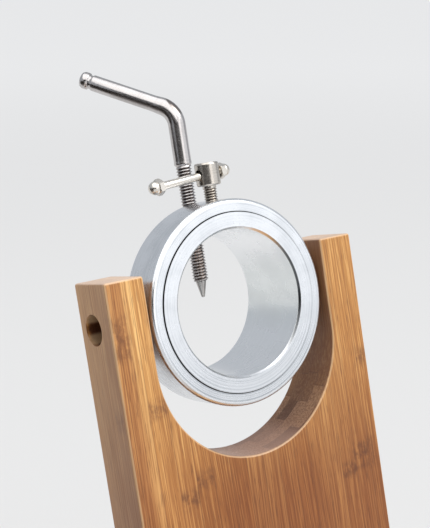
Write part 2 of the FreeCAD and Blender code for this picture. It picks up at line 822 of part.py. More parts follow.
def make_tommy_bar(place):
    """The bar hangs down to the left in its loose hole; it lies along the local X axis."""
    bar = new_body("tommy_bar")
    sketch = new_sketch(bar, "YZ", at(0, 0, dim("bar_left")))
    add_circle(sketch, "0", "0", "dims.bar_radius")
    pad(bar, sketch, "dims.bar_right - dims.bar_left")
    finish(bar, place)
    for side, end, turn in (("left", "bar_left", -90), ("right", "bar_right", 90)):
        nut = new_body("tommy_nut_" + side)
        sketch = new_sketch(nut, "XY")
        add_hexagon(sketch, "dims.cap_nut_flats")
        pad(nut, sketch, "dims.cap_nut_hex")
        dome = [
            ("0", "dims.cap_nut_hex"), ("3.3", "dims.cap_nut_hex"), ("3.25", "3.9"), ("2.85", "5.2"),
            ("2.1", "6.15"), ("1.1", "6.65"), ("0", "dims.cap_nut_length"),
        ]
        revolve(nut, dome, "V_Axis")
        bore = new_sketch(nut, "XY")
        add_circle(bore, "0", "0", "dims.bar_radius + 0.03")
        pocket(nut, bore, "dims.cap_nut_bore", reverse=True)
        reach = abs(dim(end)) - dim("cap_nut_bore")
        sign = -1 if turn < 0 else 1
        seat = Placement(Vector(sign * reach, 0, 0), Rotation(Vector(0, 1, 0), turn))
        finish(nut, place.multiply(seat))


# ---- build, check and write -----------------------------------------------------------


def check_document():
    doc.recompute()
    for item in doc.Objects:
        if "Invalid" in item.State or "Error" in item.State:
            raise ValueError("%s did not compute" % item.Label)
    for item in parts:
        if not item.Shape.isValid() or item.Shape.Volume <= 0:
            raise ValueError("%s has no valid shape" % item.Label)


def write_parts():
    os.makedirs("parts", exist_ok=True)
    for item in parts:
        item.Shape.exportStep("parts/%s.step" % item.Label)
        box = item.Shape.BoundBox
        print("%-20s %2d solids  x %.1f..%.1f  y %.1f..%.1f  z %.1f..%.1f" % (
            item.Label, len(item.Shape.Solids), box.XMin, box.XMax, box.YMin, box.YMax,
            box.ZMin, box.ZMax))


make_base_board()
make_feet()
make_post_fasteners()
make_ham_rest()
make_fork_post()
make_pivots()
make_outer_ring()
make_sleeve()
make_bush()
make_thrust_washer()
make_collar()
make_collar_screws()
make_spike()
make_lock()
check_document()
write_parts()
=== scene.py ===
import json
import math

import bmesh
import bpy
from mathutils import Matrix, Vector


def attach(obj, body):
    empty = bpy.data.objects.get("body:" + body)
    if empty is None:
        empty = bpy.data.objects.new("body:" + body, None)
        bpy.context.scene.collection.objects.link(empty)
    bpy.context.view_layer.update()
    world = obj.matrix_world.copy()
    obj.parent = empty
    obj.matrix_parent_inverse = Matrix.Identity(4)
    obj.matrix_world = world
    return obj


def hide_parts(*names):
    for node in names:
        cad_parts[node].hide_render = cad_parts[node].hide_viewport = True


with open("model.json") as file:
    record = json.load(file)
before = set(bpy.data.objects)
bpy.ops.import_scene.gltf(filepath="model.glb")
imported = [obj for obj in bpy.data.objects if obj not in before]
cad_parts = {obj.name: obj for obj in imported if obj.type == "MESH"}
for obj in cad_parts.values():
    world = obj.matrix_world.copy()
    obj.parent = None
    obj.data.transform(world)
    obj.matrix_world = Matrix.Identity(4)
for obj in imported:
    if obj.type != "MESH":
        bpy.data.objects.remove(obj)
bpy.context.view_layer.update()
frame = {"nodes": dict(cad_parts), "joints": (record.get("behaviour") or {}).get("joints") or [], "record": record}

JOINTS = {joint["name"]: joint for joint in frame["joints"]}

# Meshes are built in millimetres and scaled once, when they become objects.
MM = 0.001

# The head's own frame: Y runs back along the bore, Z up along the post and the spike.
BORE_AXIS = JOINTS["sleeve_spin"]["axis"]
LEAN = math.radians(round(math.degrees(math.atan2(-BORE_AXIS[2], BORE_AXIS[1])), 3))
PIVOT = Vector([round(c / MM, 3) for c in JOINTS["sleeve_spin"]["pos_m"]])
HEAD = Matrix.Translation(PIVOT * MM) @ Matrix.Rotation(-LEAN, 4, "X")


def depth_in_head(joint):
    """How far back along the bore a joint's axis stands, in millimetres."""
    return round((HEAD.inverted() @ Vector(JOINTS[joint]["pos_m"])).y / MM, 2)


# Places and sizes that the shapes and the materials share: millimetres and degrees, in the
# head's frame. The bar's own direction gives the turn of the lock screw and the bar's rise.
BAR_AXIS = HEAD.to_3x3().inverted() @ Vector(JOINTS["bar_slide"]["axis"])
LOCK_AZIMUTH = round(math.degrees(math.atan2(BAR_AXIS.y, BAR_AXIS.x)), 2)
BAR_RISE = round(math.degrees(math.asin(BAR_AXIS.z)), 2)
BAR_HEIGHT = 62.9
LOCK_Y = depth_in_head("lock_turn")
SPIKE_Y = depth_in_head("spike_turn")
SPIKE_AZIMUTH = 131.4
BORE_RADIUS = 35.5
GAP_RADIUS = 43.65
POST_HALF_WIDTH = 72.3
PIVOT_HOLE_Z = 0.8
PIVOT_HOLE_RADIUS = 7.4


# ---- mesh helpers --------------------------------------------------------------------

# Corners that turn less than this stay as they are, and edges sharper than the second one
# stay crisp under smooth shading.
GENTLE_TURN = math.radians(18)
SMOOTH_ANGLE = 32


def rounded(outline, radius, steps=3):
    """The open outline with each sharp corner replaced by a short arc."""
    points = [Vector(p) for p in outline]
    result = [points[0]]
    for before, point, after in zip(points, points[1:], points[2:]):
        back, ahead = before - point, after - point
        turn = math.pi - back.angle(ahead)
        if turn < GENTLE_TURN:
            result.append(point)
            continue
        reach = min(radius * math.tan(turn / 2), 0.45 * back.length, 0.45 * ahead.length)
        start = point + back.normalized() * reach
        end = point + ahead.normalized() * reach
        for k in range(steps + 1):
            t = k / steps
            result.append(start * (1 - t) ** 2 + point * 2 * t * (1 - t) + end * t ** 2)
    result.append(points[-1])
    return [tuple(p) for p in result]


def circle(centre, across, along, radius, count):
    """A ring of points; radius may be a function of the angle."""
    points = []
    for i in range(count):
        angle = 2 * math.pi * i / count
        r = radius(angle) if callable(radius) else radius
        points.append(centre + (across * math.cos(angle) + along * math.sin(angle)) * r)
    return points


def skin(bm, rings):
    """Quads between rings of the same count; a ring of one point closes to a tip."""
    verts = [[bm.verts.new(p) for p in ring] for ring in rings]
    for low, high in zip(verts, verts[1:]):
        count = max(len(low), len(high))
        for i in range(count):
            j = (i + 1) % count
            corners = [low[i % len(low)], low[j % len(low)],
                       high[j % len(high)], high[i % len(high)]]
            corners = [v for k, v in enumerate(corners) if v not in corners[:k]]
            if len(corners) > 2:
                bm.faces.new(corners)


def turned(bm, profile, count=96):
    """A lathe skin about Z from (radius, height) points; a zero radius makes a tip."""
    rings = []
    for radius, height in profile:
        centre = Vector((0, 0, height))
        if not callable(radius) and radius < 1e-6:
            rings.append([centre])
        else:
            rings.append(circle(centre, Vector((1, 0, 0)), Vector((0, 1, 0)), radius, count))
    skin(bm, rings)


def thread(bm, radius, pitch, start, end, start_radius, count=72):
    """A helical thread from start to end, cut away at both ends."""
    depth = 0.58 * pitch
    # One turn from crest to root and back: how far along the pitch, and how deep.
    shape = [(0.0, 0.0), (0.06, 0.0), (0.14, 0.04), (0.5, 0.92), (0.57, 1.0), (0.65, 0.92), (0.99, 0.04)]
    per_turn = len(shape)
    rows = per_turn * (math.ceil((end - start) / pitch) + 3)
    columns = []
    for i in range(count):
        angle = 2 * math.pi * i / count
        column = []
        for k in range(rows):
            phase, cut = shape[k % per_turn]
            height = start + (k // per_turn + phase + i / count - 1) * pitch
            height = min(max(height, start), end)
            fade = min(1.0, (end - height) / (0.8 * pitch))
            r = min(radius - depth * cut * fade, start_radius + (height - start))
            column.append(bm.verts.new((r * math.cos(angle), r * math.sin(angle), height)))
        columns.append(column)
    for i in range(count):
        shift = per_turn if i == count - 1 else 0
        left, right = columns[i], columns[(i + 1) % count]
        for k in range(rows - shift - 1):
            bm.faces.new((left[k], right[k + shift], right[k + 1 + shift], left[k + 1]))


def make_object(name, bm, matrix, smooth_angle=SMOOTH_ANGLE):
    """Weld and clean the mesh, lay it in the object's frame in metres, and link it."""
    bmesh.ops.remove_doubles(bm, verts=bm.verts, dist=1e-5)
    bmesh.ops.dissolve_degenerate(bm, edges=bm.edges, dist=1e-5)
    loose = [v for v in bm.verts if not v.link_faces]
    bmesh.ops.delete(bm, geom=loose, context="VERTS")
    bmesh.ops.recalc_face_normals(bm, faces=bm.faces)
    bmesh.ops.transform(bm, matrix=matrix @ Matrix.Scale(MM, 4), verts=bm.verts)
    mesh = bpy.data.meshes.new(name)
    bm.to_mesh(mesh)
    bm.free()
    mesh.shade_smooth()
    mesh.set_sharp_from_angle(angle=math.radians(smooth_angle))
    obj = bpy.data.objects.new(name, mesh)
    bpy.context.scene.collection.objects.link(obj)
    return obj


def cut_away(obj, cutter):
    """Remove the cutter's volume from the object and drop the cutter."""
    modifier = obj.modifiers.new("cut", "BOOLEAN")
    modifier.operation = "DIFFERENCE"
    modifier.solver = "EXACT"
    modifier.object = cutter
    bpy.context.view_layer.update()
    evaluated = obj.evaluated_get(bpy.context.evaluated_depsgraph_get())
    mesh = bpy.data.meshes.new_from_object(evaluated)
    obj.modifiers.clear()
    obj.data = mesh
    mesh.set_sharp_from_angle(angle=math.radians(SMOOTH_ANGLE))
    bpy.data.objects.remove(cutter)


def shifted(x=0.0, y=0.0, z=0.0):
    """A move in millimetres."""
    return Matrix.Translation(Vector((x, y, z)) * MM)


def turned_by(degrees, axis):
    """A turn about one axis."""
    return Matrix.Rotation(math.radians(degrees), 4, axis)


def place_piece(obj, body, slot, material, *replaced):
    """Give the piece its material and body, and let it stand for the CAD nodes it replaces."""
    obj.data.materials.clear()
    obj.data.materials.append(material)
    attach(obj, body)
    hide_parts(*replaced)
    return obj


# ---- material helpers ----------------------------------------------------------------


class Shader:
    """A short way to write one material's node tree."""

    def __init__(self, name):
        self.material = bpy.data.materials.new(name)
        self.material.use_nodes = True
        self.tree = self.material.node_tree
        self.surface = self.tree.nodes["Principled BSDF"]

    def node(self, kind, inputs=None, **settings):
        made = self.tree.nodes.new("ShaderNode" + kind)
        for key, value in settings.items():
            setattr(made, key, value)
        for key, value in (inputs or {}).items():
            self.put(made.inputs[key], value)
        return made

    def put(self, socket, value):
        """Link the socket to another one, or set it to a constant."""
        if isinstance(value, bpy.types.NodeSocket):
            self.tree.links.new(value, socket)
        elif isinstance(value, tuple) and len(value) == 3 and socket.type == "RGBA":
            socket.default_value = (*value, 1)
        else:
            socket.default_value = value

    def math(self, operation, *values):
        made = self.node("Math", operation=operation)
        for socket, value in zip(made.inputs, values):
            self.put(socket, value)
        return made.outputs[0]

    def mix(self, factor, first, second, blend="MIX"):
        made = self.node("Mix", data_type="RGBA", blend_type=blend, clamp_factor=True)
        self.put(made.inputs[0], factor)
        self.put(made.inputs[6], first)
        self.put(made.inputs[7], second)
        return made.outputs[2]

    def times(self, *values):
        product = values[0]
        for value in values[1:]:
            product = self.math("MULTIPLY", product, value)
        return product

    def size_of(self, value):
        return self.math("ABSOLUTE", value)

    def tint(self, factor, colour, by):
        """The colour multiplied by another, as far as the factor says."""
        return self.mix(factor, colour, by, "MULTIPLY")

    def between(self, value, low, high, to_low=0.0, to_high=1.0):
        """A smooth step from to_low at low to to_high at high, which may be the smaller."""
        made = self.node("MapRange", {"Value": value, "From Min": low, "From Max": high,
                                      "To Min": to_low, "To Max": to_high},
                         interpolation_type="SMOOTHSTEP")
        return made.outputs[0]

    def split(self, vector):
        return self.node("SeparateXYZ", {"Vector": vector}).outputs

    def join(self, x, y, z):
        return self.node("CombineXYZ", {"X": x, "Y": y, "Z": z}).outputs[0]

    def place(self, matrix=Matrix.Identity(4)):
        """Object coordinates in millimetres, as seen from the frame that the matrix describes."""
        inverse = matrix.inverted()
        coordinate = self.node("TexCoord").outputs["Object"]
        return self.node("Mapping", {"Vector": coordinate, "Location": tuple(inverse.translation / MM),
                                     "Rotation": tuple(inverse.to_euler()),
                                     "Scale": (1 / MM, 1 / MM, 1 / MM)}).outputs[0]

    def noise(self, vector, scale, detail, roughness):
        return self.node("TexNoise", {"Vector": vector, "Scale": scale, "Detail": detail,
                                      "Roughness": roughness}).outputs[0]

    def bands(self, distance, scale, detail, roughness):
        """Noise that varies with one distance only."""
        return self.node("TexNoise", {"W": distance, "Scale": scale, "Detail": detail,
                                      "Roughness": roughness}, noise_dimensions="1D").outputs[0]

    def bump(self, height, strength, distance):
        return self.node("Bump", {"Height": height, "Strength": strength, "Distance": distance}).outputs[0]

    def set(self, **values):
        """Put values into the surface's sockets, and return the finished material."""
        names = {"colour": "Base Color", "metallic": "Metallic", "roughness": "Roughness",
                 "normal": "Normal", "coat": "Coat Weight", "coat_roughness": "Coat Roughness",
                 "specular": "Specular IOR Level"}
        for key, value in values.items():
            self.put(self.surface.inputs[names[key]], value)
        return self.material


def scaled(colour, *factors):
    """The colour times one factor, or one for each channel, never over white."""
    if len(factors) == 1:
        factors *= 3
    return tuple(min(1.0, c * f) for c, f in zip(colour, factors))


# ---- bamboo --------------------------------------------------------------------------

FIBRE_BROWN = (0.20, 0.085, 0.03)
SEAM_BROWN = (0.20, 0.10, 0.045)
KNUCKLE_BROWN = (0.23, 0.095, 0.035)
# Painted shade on the strips' sides.
SIDE_SHADE_BROWN = (0.33, 0.180, 0.108)
PALE_PORES = (0.60, 0.40, 0.27)
DARK_PORES = (0.16, 0.075, 0.04)
# Painted highlight on the rounded edges.
EDGE_HIGHLIGHT_GOLD = (0.90, 0.62, 0.36)

class Bamboo(Shader):
    """Laminated bamboo: strips laid side by side in layers, with the grain along local Z."""

    def __init__(self, name, place, strip, layer):
        super().__init__(name)
        self.point = self.place(place)
        self.x, self.y, self.z = self.split(self.point)
        self.lay_strips(strip, layer)
        self.lay_fibres()
        facing = self.node("VectorRotate", {"Vector": self.node("TexCoord").outputs["Normal"],
                                            "Rotation": tuple(place.inverted().to_euler())},
                           rotation_type="EULER_XYZ").outputs[0]
        facing_x, facing_y, facing_z = self.split(facing)
        # Which way the surface faces: a side of the strips, their cut ends, or in between.
        self.side = self.between(self.size_of(facing_x), 0.55, 0.95)
        self.end = self.between(self.size_of(facing_z), 0.35, 0.85)
        self.slope = self.size_of(facing_y)

    def lay_strips(self, strip, layer):
        """Number the strips, give each its own chances, and find the seams between them."""
        row = self.math("DIVIDE", self.y, layer)
        row_index = self.math("FLOOR", row)
        row_shift = self.node("TexWhiteNoise", {"W": row_index}, noise_dimensions="1D").outputs[0]
        column = self.math("ADD", self.math("DIVIDE", self.x, strip), self.times(row_shift, 7.3))
        cell = self.join(self.math("FLOOR", column), row_index, 0.0)
        chance = self.node("TexWhiteNoise", {"Vector": cell}, noise_dimensions="3D")
        self.tone = chance.outputs[0]
        self.tone_two, self.tone_three, _ = self.split(chance.outputs[1])

        def edge(position, width):
            off_centre = self.size_of(self.math("SUBTRACT", self.math("FRACT", position), 0.5))
            return self.between(off_centre, 0.5 - width, 0.5)

        self.seam = self.math("MAXIMUM", edge(column, 0.32 / strip), edge(row, 0.3 / layer))

    def lay_fibres(self):
        """Long thin streaks that wander slightly, different in every strip."""
        lean = self.times(self.math("SUBTRACT", self.tone_two, 0.5), 0.05)
        fibre_x = self.math("ADD", self.x, self.times(self.z, lean))
        lift = self.times(self.tone, 90.0)

        def streaks(width, length, start, detail, roughness):
            place = self.join(self.times(fibre_x, width), self.times(self.y, width),
                              self.math("ADD", self.times(self.z, length), start))
            return self.noise(place, 1.0, detail, roughness)

        self.broad = streaks(0.42, 0.010, lift, 3.0, 0.6)
        self.fine = streaks(1.15, 0.022, lift, 2.0, 0.65)
        self.dash = streaks(2.0, 0.12, 0.0, 1.0, 0.5)

    def strip_colour(self, light, dark):
        """Each strip's own tone, streaked along its fibres and darker in the seams."""
        colour = self.mix(self.between(self.tone, 0.0, 1.0), light, dark)
        colour = self.mix(self.between(self.broad, 0.38, 0.68, 0.0, 0.62), colour,
                          scaled(dark, 0.80, 0.70, 0.55))
        colour = self.mix(self.between(self.fine, 0.47, 0.59, 0.0, 0.60), colour,
                          scaled(dark, 0.62, 0.50, 0.38))
        colour = self.mix(self.between(self.fine, 0.46, 0.35, 0.0, 0.60), colour, scaled(light, 1.22))
        colour = self.mix(self.between(self.dash, 0.58, 0.72, 0.0, 0.45), colour, FIBRE_BROWN)
        return self.mix(self.times(self.seam, 0.42), colour, SEAM_BROWN)

    def add_knuckles(self, colour, spots=()):
        """Growth knuckles: a dark mottled band across some of the strips, and one at each
        (x, y, z, width, height) spot."""
        cycle = self.math("FRACT", self.math("ADD", self.math("DIVIDE", self.z, 260.0), self.tone_three))
        band = self.times(self.between(self.size_of(self.math("SUBTRACT", cycle, 0.5)), 0.026, 0.004),
                          self.between(self.tone_two, 0.55, 0.62))
        for x, y, z, width, height in spots:
            off_x = self.math("DIVIDE", self.size_of(self.math("SUBTRACT", self.x, x)), width)
            off_y = self.size_of(self.math("SUBTRACT", self.y, y))
            off_z = self.math("DIVIDE", self.size_of(self.math("SUBTRACT", self.z, z)), height)
            spot = self.times(self.between(self.math("MAXIMUM", off_x, off_z), 1.15, 0.35),
                              self.between(off_y, 8.0, 5.0))
            band = self.math("MAXIMUM", band, spot)
        blotch = self.noise(self.join(self.x, self.y, self.times(self.z, 0.6)), 0.36, 4.0, 0.62)
        knuckle = self.times(band, self.between(blotch, 0.34, 0.66), 0.80)
        return self.mix(knuckle, colour, KNUCKLE_BROWN)

    def shade_sides_show_ends(self, colour, end_strength):
        """Painted shade darkens the strips' sides towards a duller brown, and the cut ends show their pores."""
        # Painted shade on the sides of the strips.
        colour = self.mix(self.times(self.side, 0.60), colour, SIDE_SHADE_BROWN)
        pores = self.mix(self.between(self.tone, 0.25, 0.75), PALE_PORES, DARK_PORES)
        pores = self.mix(self.between(self.fine, 0.40, 0.62, 0.0, 0.55), pores, (0.12, 0.055, 0.03))
        return self.mix(self.times(self.end, end_strength), colour, pores)

    def paint_shade_on_post_front(self, colour):
        """Painted shade browns the front under the fork and in the right arm, and a darker strip runs along the
        outer left edge.
        """
        # Painted shade under the fork, fading towards the right.
        deep = self.times(self.between(self.x, -62.0, -15.0), self.between(self.z, -30.0, -95.0),
                          self.between(self.x, 25.0, 60.0, 0.95, 0.5))
        colour = self.tint(deep, colour, (0.60, 0.47, 0.36))
        # Painted shade in the right arm.
        arm = self.times(self.between(self.x, 38.0, 58.0), self.between(self.z, 10.0, -55.0), 0.40)
        colour = self.tint(arm, colour, (0.68, 0.56, 0.50))
        # A darker strip along the outer left edge of the front.
        ragged_x = self.math("ADD", self.x, self.times(self.broad, 4.0))
        outer = self.times(self.between(ragged_x, -59.5, -64.5), self.math("SUBTRACT", 1.0, self.side), 0.85)
        return self.tint(outer, colour, (0.62, 0.46, 0.36))

    def tint_and_shade_post_edges(self, colour):
        """The rear layer and the bottom of the fork are redder, and painted shade darkens the post downwards and
        to the right.
        """
        rear = self.times(self.side, self.between(self.y, 4.0, 10.5, 0.0, 0.55))
        colour = self.mix(rear, colour, (0.60, 0.34, 0.16))
        sill = self.times(self.end, self.between(self.z, -66.0, -72.0, 0.0, 0.45))
        colour = self.mix(sill, colour, (0.72, 0.50, 0.40))
        # Painted shade: darker towards the bottom and towards the right.
        lower = self.between(self.z, 10.0, -125.0)
        right = self.between(self.x, -58.0, 10.0, 0.0, 0.28)
        return self.tint(self.math("MAXIMUM", lower, right), colour, (0.66, 0.52, 0.44))

    def paint_light_on_post_cuts(self, colour):
        """A painted sheen makes the planed tops pale, and painted shade darkens the fork's inside and the pivot
        holes.
        """
        # Painted sheen on the planed tops.
        top = self.times(self.end, self.between(self.z, 17.0, 21.0, 0.0, 0.78))
        colour = self.mix(top, colour, (0.82, 0.59, 0.43))
        width = self.size_of(self.x)
        # Painted shade on the fork's inner faces, under the ring.
        inner = self.times(self.between(width, 56.0, 53.5), self.math("MAXIMUM", self.side, 0.35),
                           self.between(self.z, -75.0, -30.0, 0.0, 0.75))
        colour = self.tint(inner, colour, (0.62, 0.52, 0.46))
        # Painted shade inside the pivot holes, weaker at their lower part.
        rise = self.math("SUBTRACT", self.z, PIVOT_HOLE_Z)
        reach = self.math("SQRT", self.math("ADD", self.times(self.y, self.y), self.times(rise, rise)))
        hole_shade = self.times(self.between(reach, PIVOT_HOLE_RADIUS + 0.35, PIVOT_HOLE_RADIUS + 0.05),
                             self.between(width, POST_HALF_WIDTH - 0.4, POST_HALF_WIDTH - 2.3),
                             self.between(rise, -8.0, -3.0, 0.35, 1.0))
        return self.tint(hole_shade, colour, (0.26, 0.17, 0.12))

    def finished(self, colour):
        """A painted highlight on the rounded edges, slow drifts in tone, an uneven gloss and fibres that can be
        felt.
        """
        # Painted highlight: the rounded edges of the front and back faces are lightened to gold.
        edge_highlight = self.times(self.between(self.slope, 0.25, 0.55), self.between(self.slope, 0.98, 0.88), 0.45)
        colour = self.mix(edge_highlight, colour, EDGE_HIGHLIGHT_GOLD)
        drift = self.noise(self.point, 0.018, 2.0, 0.5)
        colour = self.tint(self.between(drift, 0.35, 0.65, 0.0, 0.30), colour, (0.80, 0.72, 0.62))
        fibres = self.math("ADD", self.times(self.fine, 0.6), self.times(self.dash, 0.4))
        height = self.math("SUBTRACT", fibres, self.times(self.seam, 0.35))
        return self.set(colour=colour, roughness=self.between(self.fine, 0.3, 0.7, 0.36, 0.52),
                        normal=self.bump(height, 0.35, 0.00025),
                        coat=0.12, coat_roughness=0.32, specular=0.42)


def post_bamboo():
    s = Bamboo("post_bamboo", HEAD, strip=9.6, layer=7.35)
    colour = s.strip_colour(light=(0.85, 0.505, 0.19), dark=(0.66, 0.325, 0.092))
    colour = s.add_knuckles(colour, [(-68.0, -16.0, -4.0, 5.0, 12.0), (61.0, -16.0, -92.0, 9.0, 9.0)])
    colour = s.shade_sides_show_ends(colour, end_strength=0.80)
    colour = s.paint_shade_on_post_front(colour)
    colour = s.tint_and_shade_post_edges(colour)
    colour = s.paint_light_on_post_cuts(colour)
    return s.finished(colour)


def board_bamboo():
    # The board's grain runs along world Y, so its frame is laid on its back. The height
    # keeps a seam between layers off the board's own faces.
    s = Bamboo("board_bamboo", shifted(z=9.5) @ turned_by(-90, "X"), strip=12.5, layer=7.5)
    colour = s.strip_colour(light=(0.74, 0.43, 0.16), dark=(0.55, 0.27, 0.08))
    colour = s.add_knuckles(colour)
    return s.finished(s.shade_sides_show_ends(colour, end_strength=0.45))


# ---- metals, rubber and plastic --------------------------------------------------------


def mark_head(s, tone, radius, along, x, z):
    """Ring and sleeve: painted shade in the gap between their faces, a pale hazy bore and a painted dark
    reflection on the bevel.
    """
    # Painted shade along the gap between the ring's and the sleeve's faces.
    gap = s.between(s.size_of(s.math("SUBTRACT", radius, GAP_RADIUS)), 0.34, 0.20)
    tone = s.mix(s.times(gap, s.between(along, -8.0, -9.0)), tone, (0.045, 0.045, 0.05))
    bore = s.between(radius, BORE_RADIUS + 0.7, BORE_RADIUS + 0.3)
    tone = s.mix(s.times(bore, 0.62), tone, (0.98, 0.99, 1.0))
    haze = s.times(bore, s.between(s.size_of(z), 26.0, 6.0, 0.0, 0.6))
    tone = s.mix(haze, tone, (0.76, 0.80, 0.79))
    # Painted dark reflection on the bore's front bevel, on the right.
    bevel = s.times(s.between(radius, BORE_RADIUS + 1.1, BORE_RADIUS + 0.8), s.between(along, -14.1, -14.4),
                    s.between(x, 16.0, 33.0, 0.0, 0.9))
    return s.mix(bevel, tone, (0.05, 0.055, 0.06))


def turned_metal(name, place, axis, colour, roughness, lines=0.5, patches=0.25,
                 dark=(0.5, 0.53, 0.56), bump=0.1, root_shade=None, head=False):
    """Metal worked on a lathe: fine rings about the axis, soft patches and darker specks.

    root_shade is a thread's root and crest radius: a darker tone over the whole thread, with painted shade
    deepening into its roots; head adds the marks of the ring and the sleeve.
    """
    s = Shader(name)
    point = s.place(place)
    x, y, z = s.split(point)
    first, second, along = {"X": (y, z, x), "Y": (x, z, y), "Z": (x, y, z)}[axis]
    radius = s.math("SQRT", s.math("ADD", s.times(first, first), s.times(second, second)))
    groove = s.math("ADD", radius, along)
    coarse = s.bands(groove, 1.3, 2.0, 0.6)
    fine = s.bands(groove, 6.5, 3.0, 0.7)
    patch = s.noise(point, 0.055, 3.0, 0.55)
    speck = s.noise(point, 1.1, 2.0, 0.6)
    amount = s.between(patch, 0.36, 0.62, 0.15, 1.0)
    if head:
        amount = s.math("MAXIMUM", s.times(amount, 0.6), s.between(z, 5.0, -32.0))
    tone = s.mix(s.times(s.between(coarse, 0.42, 0.66), amount, lines), colour, dark)
    tone = s.mix(s.between(patch, 0.40, 0.72, 0.0, patches), tone, dark)
    tone = s.mix(s.between(speck, 0.58, 0.76, 0.0, 0.22), tone, scaled(dark, 0.72))
    if head:
        tone = mark_head(s, tone, radius, along, x, z)
    # A darker tone over the thread, and painted shade deepening into its roots.
    if root_shade:
        root, crest = root_shade
        tone = s.mix(s.between(radius, crest, root, 0.28, 0.80), tone, (0.13, 0.10, 0.085))
    rough = s.math("ADD", s.between(patch, 0.30, 0.70, roughness * 0.8, roughness * 1.3),
                   s.times(fine, roughness * 0.35))
    height = s.math("ADD", s.times(fine, 0.6), s.times(coarse, amount))
    return s.set(colour=tone, metallic=1.0, roughness=rough, normal=s.bump(height, bump, 0.0001))


def plain_metal(name, colour, roughness, speckle=0.35, scale=0.5):
    """Plated or pressed metal with faint stains and uneven gloss."""
    s = Shader(name)
    point = s.place()
    stain = s.noise(point, 0.12 * scale, 4.0, 0.6)
    grain = s.noise(point, 2.4 * scale, 2.0, 0.6)
    tone = s.mix(s.between(stain, 0.42, 0.70, 0.0, speckle), colour, scaled(colour, 0.62))
    rough = s.math("ADD", s.between(stain, 0.3, 0.7, roughness * 0.75, roughness * 1.35),
                   s.times(grain, 0.08))
    return s.set(colour=tone, metallic=1.0, roughness=rough, normal=s.bump(grain, 0.08, 0.0001))


def plastic(name, colour, roughness):
    """Moulded plastic or rubber: a fine grain, with darker clouds."""
    s = Shader(name)
    point = s.place()
    grain = s.noise(point, 1.6, 3.0, 0.6)
    cloud = s.noise(point, 0.10, 2.0, 0.5)
    tone = s.mix(s.between(cloud, 0.35, 0.7, 0.0, 0.4), colour, scaled(colour, 0.6))
    return s.set(colour=tone, roughness=s.between(grain, 0.3, 0.7, roughness * 0.85, roughness * 1.15),
                 normal=s.bump(grain, 0.25, 0.0002), specular=0.35)


def dowel_wood(light, dark):
    """Turned hardwood, with fine fibres along the post."""
    s = Shader("dowel_wood")
    x, y, z = s.split(s.place(HEAD))
    fibre = s.noise(s.join(s.times(x, 1.6), s.times(y, 1.6), s.times(z, 0.05)), 1.0, 3.0, 0.6)
    return s.set(colour=s.mix(s.between(fibre, 0.35, 0.65), light, dark),
                 roughness=s.between(fibre, 0.3, 0.7, 0.45, 0.6), normal=s.bump(fibre, 0.3, 0.0002))


# ---- the object's materials ------------------------------------------------------------

SPIKE_FRAME = HEAD @ shifted(y=SPIKE_Y) @ turned_by(SPIKE_AZIMUTH, "Z")
LOCK_FRAME = HEAD @ shifted(y=LOCK_Y) @ turned_by(LOCK_AZIMUTH, "Z")
BAR_FRAME = LOCK_FRAME @ shifted(z=BAR_HEIGHT) @ turned_by(-BAR_RISE, "Y")
ALONG_X = turned_by(90, "Y")

BRIGHT_STEEL = (0.88, 0.895, 0.92)
NICKEL_COLOUR = (0.80, 0.755, 0.69)
NICKEL_SHADE = (0.50, 0.46, 0.40)

POLISHED_ROD = turned_metal("polished_rod", SPIKE_FRAME, "Z", (0.78, 0.755, 0.75), 0.19, lines=0.25,
                            patches=0.3, dark=(0.34, 0.31, 0.30), bump=0.05, root_shade=(3.2, 3.9))
SPIKE_TIP = turned_metal("spike_tip_steel", SPIKE_FRAME, "Z", (0.50, 0.48, 0.465), 0.2, lines=0.25,
                         patches=0.3, dark=(0.36, 0.34, 0.32), bump=0.05)
NICKEL = turned_metal("nickel", BAR_FRAME, "X", NICKEL_COLOUR, 0.22, lines=0.3,
                      patches=0.3, dark=NICKEL_SHADE, bump=0.06)
NICKEL_THREAD = turned_metal("nickel_thread", LOCK_FRAME, "Z", (0.82, 0.775, 0.71), 0.19, lines=0.3,
                             patches=0.3, dark=NICKEL_SHADE, bump=0.06, root_shade=(2.65, 3.3))

SLOT_MATERIALS = {
    "bamboo": board_bamboo(),
    "dowel_wood": dowel_wood((0.74, 0.55, 0.33), (0.55, 0.36, 0.18)),
    "foot_rubber": plastic("foot_rubber", (0.030, 0.030, 0.032), 0.72),
    "zinc_steel": plain_metal("zinc_steel", (0.62, 0.63, 0.64), 0.34),
    "satin_steel": turned_metal("satin_steel", HEAD, "Y", BRIGHT_STEEL, 0.23, patches=0.35, head=True),
    "ring_steel": turned_metal("ring_steel", HEAD, "Y", BRIGHT_STEEL, 0.21, lines=0.75, head=True),
    "polished_steel": plain_metal("polished_steel", (0.80, 0.80, 0.80), 0.14, speckle=0.2),
    "nickel_steel": plain_metal("nickel_steel", NICKEL_COLOUR, 0.2),
    "bolt_steel": plain_metal("bolt_steel", (0.42, 0.42, 0.43), 0.36),
    "bearing_plastic": plastic("bearing_plastic", (0.075, 0.072, 0.070), 0.5),
    "pad_brass": plain_metal("pad_brass", (0.75, 0.56, 0.27), 0.32),
}
NODE_MATERIALS = {
    "fork_post": post_bamboo(),
    "rest_plate": plain_metal("plate_steel", (0.70, 0.71, 0.72), 0.36, speckle=0.15, scale=0.9),
}

for part in frame["record"]["subparts"]:
    node = frame["nodes"][part["node"]]
    finish = NODE_MATERIALS.get(part["node"], SLOT_MATERIALS[part["material_slot"]])
    node.data.materials.clear()
    node.data.materials.append(finish)


# ---- spike screw and its point --------------------------------------------------------

